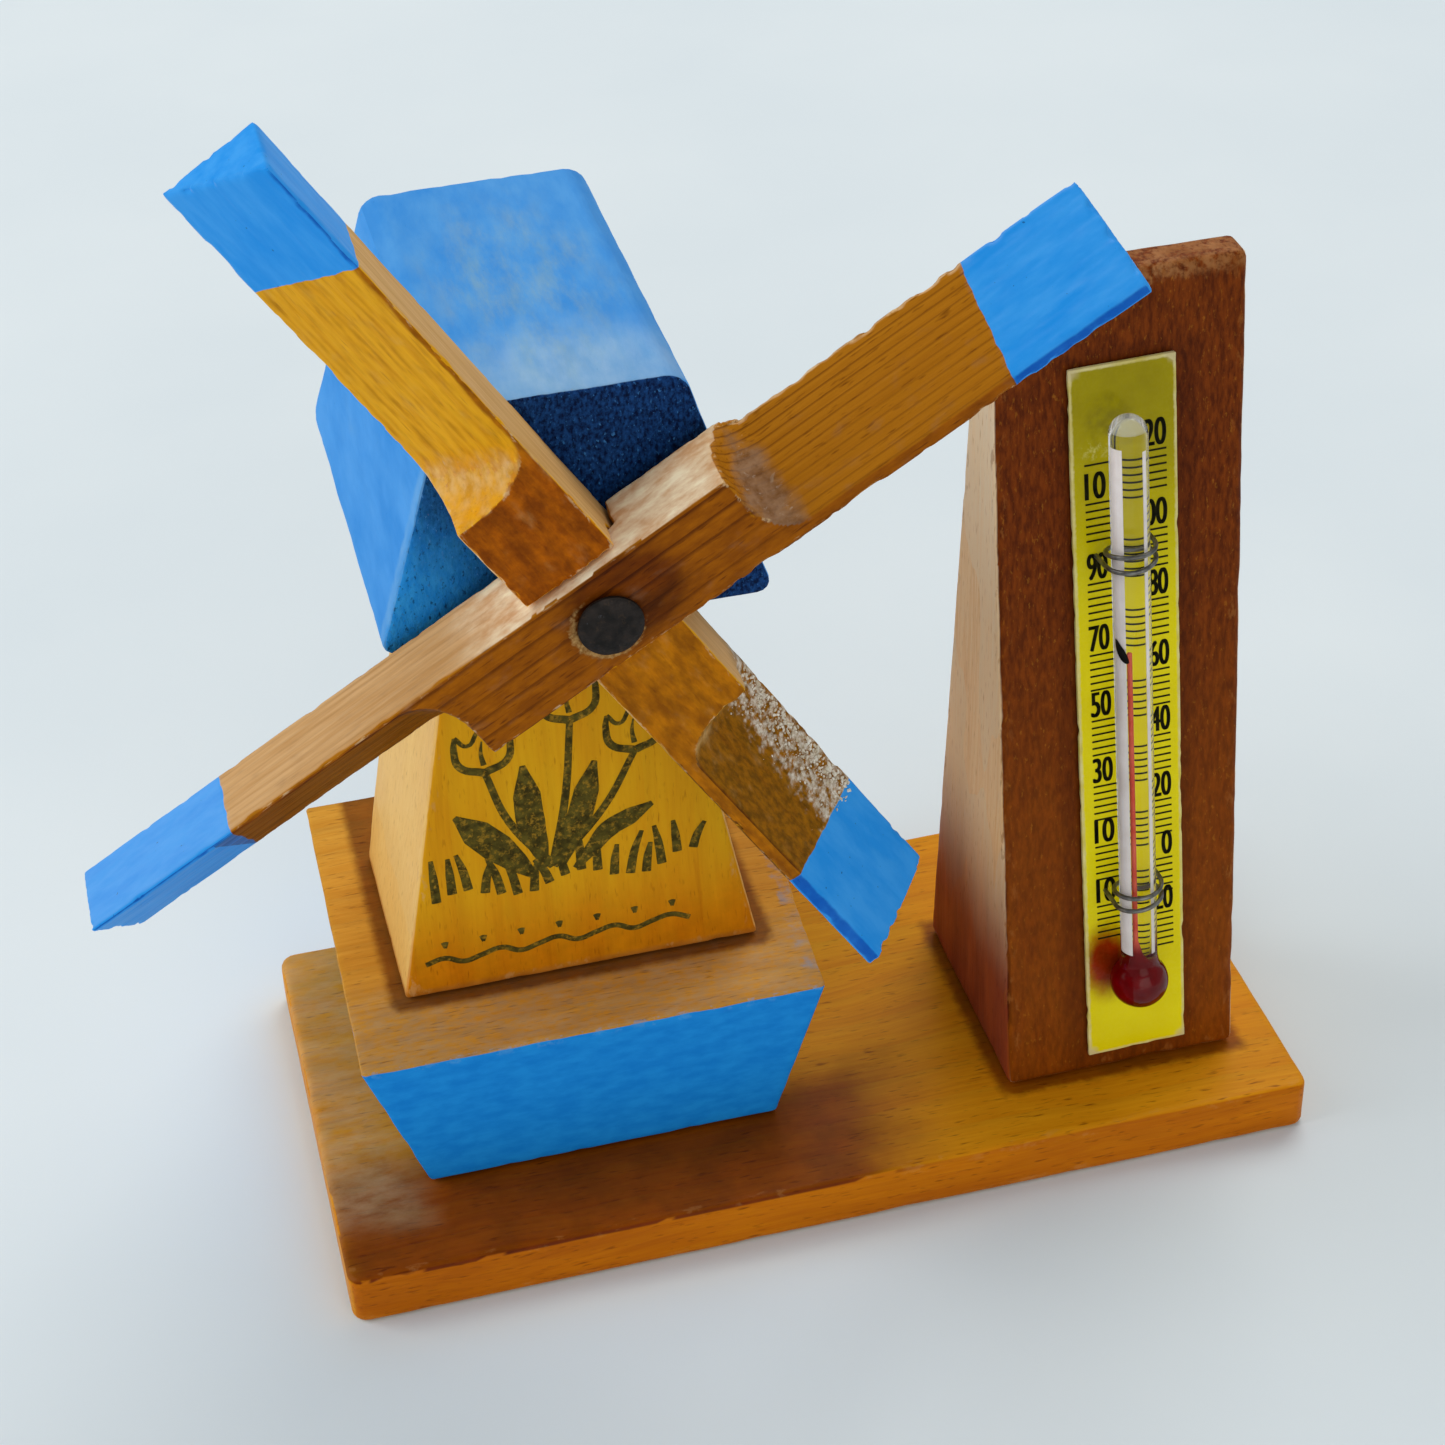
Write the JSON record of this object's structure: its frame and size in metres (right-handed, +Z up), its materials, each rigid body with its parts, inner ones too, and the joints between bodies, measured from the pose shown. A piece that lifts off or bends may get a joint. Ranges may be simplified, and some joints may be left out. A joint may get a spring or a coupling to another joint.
{
  "type": "windmill desk thermometer",
  "caption": "Wooden windmill ornament with turning half-lapped sails and a spirit thermometer on a wedge post, on one base board.",
  "frame": {"origin": "middle of the base board's underside, on the surface it stands on", "axes": "+X along the board's long side towards the thermometer post, -Y to the front where the sails and the scale face, +Z up"},
  "size_m": [0.1336, 0.0671, 0.1407],
  "materials": {
    "amber_wood": "lacquered, worn",
    "sail_wood": "lacquered, tips painted blue",
    "stained_wood": "dark stained",
    "blue_wood": "brush-painted blue",
    "dark_steel": "oxidised",
    "wire": "drawn wire",
    "yellow_plate": "glossy, printed scale",
    "glass": "clear",
    "spirit": "red liquid"
  },
  "bodies": {
    "stand": {"base_board": "amber_wood", "plinth_block": "amber_wood", "tower_block": "amber_wood", "cap_block": "blue_wood", "hub_nail": "dark_steel", "thermometer_post": "stained_wood", "scale_plate": "yellow_plate", "glass_tube": "glass", "spirit_column": "spirit", "clip_upper": "wire", "clip_lower": "wire", "brad_plinth_left": "dark_steel", "brad_plinth_right": "dark_steel", "brad_post_left": "dark_steel", "brad_post_right": "dark_steel"},
    "sails": {"sail_front": "sail_wood", "sail_rear": "sail_wood"}
  },
  "joints": [
    {"name": "sails_spin", "type": "hinge", "parent": "stand", "child": "sails", "pos_m": [-0.0233, -0.0315, 0.0898], "axis": [0, -1, 0], "continuous": true}
  ]
}
